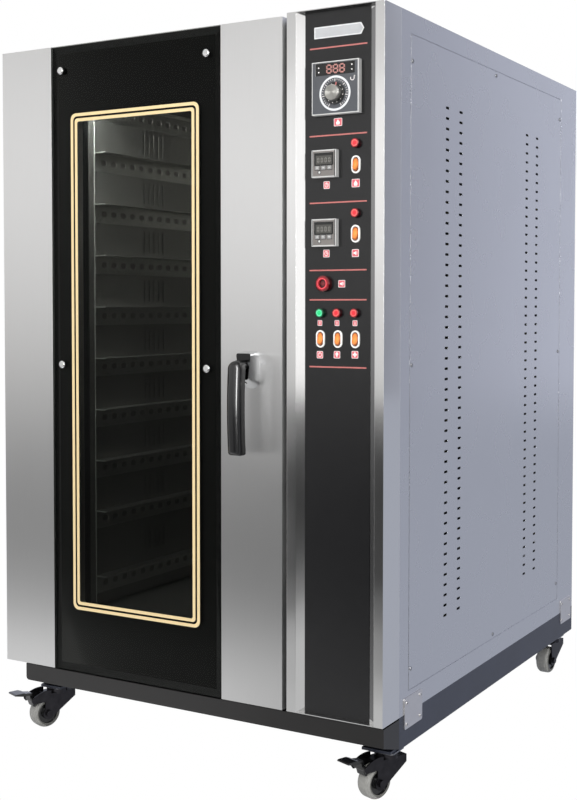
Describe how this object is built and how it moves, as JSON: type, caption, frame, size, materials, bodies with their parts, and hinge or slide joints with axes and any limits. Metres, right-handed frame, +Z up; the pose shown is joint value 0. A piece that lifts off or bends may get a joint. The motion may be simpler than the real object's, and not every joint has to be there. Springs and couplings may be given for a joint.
{
  "type": "convection oven",
  "caption": "Tall free-standing convection oven on casters: hinged glass door, control column at its right, fan, heating rings and tray rails in the cavity.",
  "frame": {"origin": "on the floor, under the middle of the whole oven as seen from above", "axes": "+X to the right of someone facing the door, +Y from the door to the back, +Z up"},
  "size_m": [0.8926, 1.181, 1.436],
  "materials": {
    "stainless_sheet": "satin stainless steel",
    "bright_stainless": "polished stainless steel",
    "cavity_steel": "plain stainless steel",
    "door_steel": "plain folded steel",
    "zinc_plate": "zinc plated steel",
    "chrome_plate": "polished chrome",
    "plate_steel": "plain steel",
    "black_paint": "satin black paint",
    "slate_paint": "satin slate grey paint",
    "motor_paint": "dark grey paint",
    "heater_sheath": "heat darkened steel tube",
    "black_glass": "black printed toughened glass with a clear window",
    "clear_glass": "clear toughened glass",
    "black_plastic": "glossy black plastic",
    "grey_plastic": "satin grey plastic",
    "white_plastic": "glossy white plastic",
    "orange_plastic": "translucent orange plastic",
    "red_plastic": "translucent red plastic",
    "grey_rubber": "grey non-marking rubber on a plastic hub",
    "silicone": "soft silicone",
    "mineral_wool": "mineral wool"
  },
  "bodies": {
    "cabinet": {"cabinet_frame": "stainless_sheet", "base_frame": "slate_paint", "front_base_beam": "black_paint", "roof_panel": "stainless_sheet", "back_panel": "stainless_sheet", "right_side_panel": "stainless_sheet", "left_side_panel": "stainless_sheet", "corner_plates": "plate_steel", "cavity_liner": "cavity_steel", "insulation": "mineral_wool", "door_seal": "silicone", "duct_panels": "cavity_steel", "tray_rails": "cavity_steel", "fan_baffle": "cavity_steel", "heating_elements": "heater_sheath", "fan_motor": "motor_paint", "steam_pipe": "cavity_steel", "cavity_lamp": "clear_glass", "column_shell": "bright_stainless", "fascia_panel": "black_paint", "instrument_bodies": "grey_plastic", "rocker_bezels": "white_plastic", "indicator_lamps": "red_plastic", "buzzer": "red_plastic", "caster_plates": "zinc_plate", "cabinet_hinge_leaves": "door_steel", "cable_gland": "black_plastic", "control_gear": "motor_paint"},
    "door": {"door_pan": "door_steel", "door_strips": "bright_stainless", "door_glass": "black_glass", "inner_glass": "clear_glass", "glass_screws": "chrome_plate", "door_hinge_leaves": "door_steel", "handle_base": "chrome_plate"},
    "handle": {"handle_lever": "black_plastic", "latch_tongue": "door_steel"},
    "upper_timer_key_1": {"upper_timer_key_1": "grey_plastic"},
    "upper_timer_key_2": {"upper_timer_key_2": "grey_plastic"},
    "upper_timer_key_3": {"upper_timer_key_3": "grey_plastic"},
    "lower_timer_key_1": {"lower_timer_key_1": "grey_plastic"},
    "lower_timer_key_2": {"lower_timer_key_2": "grey_plastic"},
    "lower_timer_key_3": {"lower_timer_key_3": "grey_plastic"},
    "heat_rocker": {"heat_rocker": "orange_plastic"},
    "steam_rocker": {"steam_rocker": "orange_plastic"},
    "power_rocker": {"power_rocker": "orange_plastic"},
    "light_rocker": {"light_rocker": "orange_plastic"},
    "door_side_rocker": {"door_side_rocker": "orange_plastic"},
    "temperature_knob": {"temperature_knob": "black_plastic"},
    "fan": {"fan_impeller": "cavity_steel"},
    "front_left_caster_fork": {"front_left_caster_fork": "zinc_plate"},
    "front_left_wheel": {"front_left_wheel": "grey_rubber"},
    "front_left_brake_pedal": {"front_left_brake_pedal": "black_plastic"},
    "front_right_caster_fork": {"front_right_caster_fork": "zinc_plate"},
    "front_right_wheel": {"front_right_wheel": "grey_rubber"},
    "front_right_brake_pedal": {"front_right_brake_pedal": "black_plastic"},
    "rear_left_caster_fork": {"rear_left_caster_fork": "zinc_plate"},
    "rear_left_wheel": {"rear_left_wheel": "grey_rubber"},
    "rear_right_caster_fork": {"rear_right_caster_fork": "zinc_plate"},
    "rear_right_wheel": {"rear_right_wheel": "grey_rubber"}
  },
  "joints": [
    {"name": "door_hinge", "type": "hinge", "parent": "cabinet", "child": "door", "pos_m": [-0.4133, -0.4545, 0.786], "axis": [0, 0, -1], "range_deg": [0, 120]},
    {"name": "handle_turn", "type": "hinge", "parent": "door", "child": "handle", "pos_m": [0.1667, -0.5265, 0.791], "axis": [0, 1, 0], "range_deg": [0, 90]},
    {"name": "upper_timer_key_1_press", "type": "slide", "parent": "cabinet", "child": "upper_timer_key_1", "axis": [0, 1, 0], "range_m": [0, 0.0008], "stiffness_N_per_m": 200},
    {"name": "upper_timer_key_2_press", "type": "slide", "parent": "cabinet", "child": "upper_timer_key_2", "axis": [0, 1, 0], "range_m": [0, 0.0008], "stiffness_N_per_m": 200},
    {"name": "upper_timer_key_3_press", "type": "slide", "parent": "cabinet", "child": "upper_timer_key_3", "axis": [0, 1, 0], "range_m": [0, 0.0008], "stiffness_N_per_m": 200},
    {"name": "lower_timer_key_1_press", "type": "slide", "parent": "cabinet", "child": "lower_timer_key_1", "axis": [0, 1, 0], "range_m": [0, 0.0008], "stiffness_N_per_m": 200},
    {"name": "lower_timer_key_2_press", "type": "slide", "parent": "cabinet", "child": "lower_timer_key_2", "axis": [0, 1, 0], "range_m": [0, 0.0008], "stiffness_N_per_m": 200},
    {"name": "lower_timer_key_3_press", "type": "slide", "parent": "cabinet", "child": "lower_timer_key_3", "axis": [0, 1, 0], "range_m": [0, 0.0008], "stiffness_N_per_m": 200},
    {"name": "heat_rocker_tilt", "type": "hinge", "parent": "cabinet", "child": "heat_rocker", "pos_m": [0.3814, -0.513, 1.154], "axis": [1, 0, 0], "range_deg": [0, 24]},
    {"name": "steam_rocker_tilt", "type": "hinge", "parent": "cabinet", "child": "steam_rocker", "pos_m": [0.3811, -0.513, 1.0305], "axis": [1, 0, 0], "range_deg": [0, 24]},
    {"name": "power_rocker_tilt", "type": "hinge", "parent": "cabinet", "child": "power_rocker", "pos_m": [0.3099, -0.513, 0.8412], "axis": [1, 0, 0], "range_deg": [0, 24]},
    {"name": "light_rocker_tilt", "type": "hinge", "parent": "cabinet", "child": "light_rocker", "pos_m": [0.3457, -0.513, 0.8412], "axis": [1, 0, 0], "range_deg": [0, 24]},
    {"name": "door_side_rocker_tilt", "type": "hinge", "parent": "cabinet", "child": "door_side_rocker", "pos_m": [0.381, -0.513, 0.8412], "axis": [1, 0, 0], "range_deg": [0, 24]},
    {"name": "temperature_knob_turn", "type": "hinge", "parent": "cabinet", "child": "temperature_knob", "pos_m": [0.3443, -0.5265, 1.282], "axis": [0, 1, 0], "range_deg": [-162, 138]},
    {"name": "fan_spin", "type": "hinge", "parent": "cabinet", "child": "fan", "pos_m": [-0.1056, 0.2595, 0.816], "axis": [0, 1, 0], "continuous": true},
    {"name": "front_left_swivel", "type": "hinge", "parent": "cabinet", "child": "front_left_caster_fork", "pos_m": [-0.3703, -0.4545, 0.086], "axis": [0, 0, 1], "continuous": true},
    {"name": "front_left_roll", "type": "hinge", "parent": "front_left_caster_fork", "child": "front_left_wheel", "pos_m": [-0.38105, -0.48251, 0.0315], "axis": [0.9336, -0.3584, 0], "continuous": true},
    {"name": "front_left_brake_press", "type": "hinge", "parent": "front_left_caster_fork", "child": "front_left_brake_pedal", "pos_m": [-0.39324, -0.51425, 0.064], "axis": [0.9336, -0.3584, 0], "range_deg": [0, 12]},
    {"name": "front_right_swivel", "type": "hinge", "parent": "cabinet", "child": "front_right_caster_fork", "pos_m": [0.4157, -0.4545, 0.086], "axis": [0, 0, 1], "continuous": true},
    {"name": "front_right_roll", "type": "hinge", "parent": "front_right_caster_fork", "child": "front_right_wheel", "pos_m": [0.40495, -0.48251, 0.0315], "axis": [0.9336, -0.3584, 0], "continuous": true},
    {"name": "front_right_brake_press", "type": "hinge", "parent": "front_right_caster_fork", "child": "front_right_brake_pedal", "pos_m": [0.39276, -0.51425, 0.064], "axis": [0.9336, -0.3584, 0], "range_deg": [0, 12]},
    {"name": "rear_left_swivel", "type": "hinge", "parent": "cabinet", "child": "rear_left_caster_fork", "pos_m": [-0.3703, 0.4895, 0.086], "axis": [0, 0, 1], "continuous": true},
    {"name": "rear_left_roll", "type": "hinge", "parent": "rear_left_caster_fork", "child": "rear_left_wheel", "pos_m": [-0.37239, 0.45957, 0.0315], "axis": [0.9976, -0.0698, 0], "continuous": true},
    {"name": "rear_right_swivel", "type": "hinge", "parent": "cabinet", "child": "rear_right_caster_fork", "pos_m": [0.4157, 0.4895, 0.086], "axis": [0, 0, 1], "continuous": true},
    {"name": "rear_right_roll", "type": "hinge", "parent": "rear_right_caster_fork", "child": "rear_right_wheel", "pos_m": [0.41361, 0.45957, 0.0315], "axis": [0.9976, -0.0698, 0], "continuous": true}
  ]
}
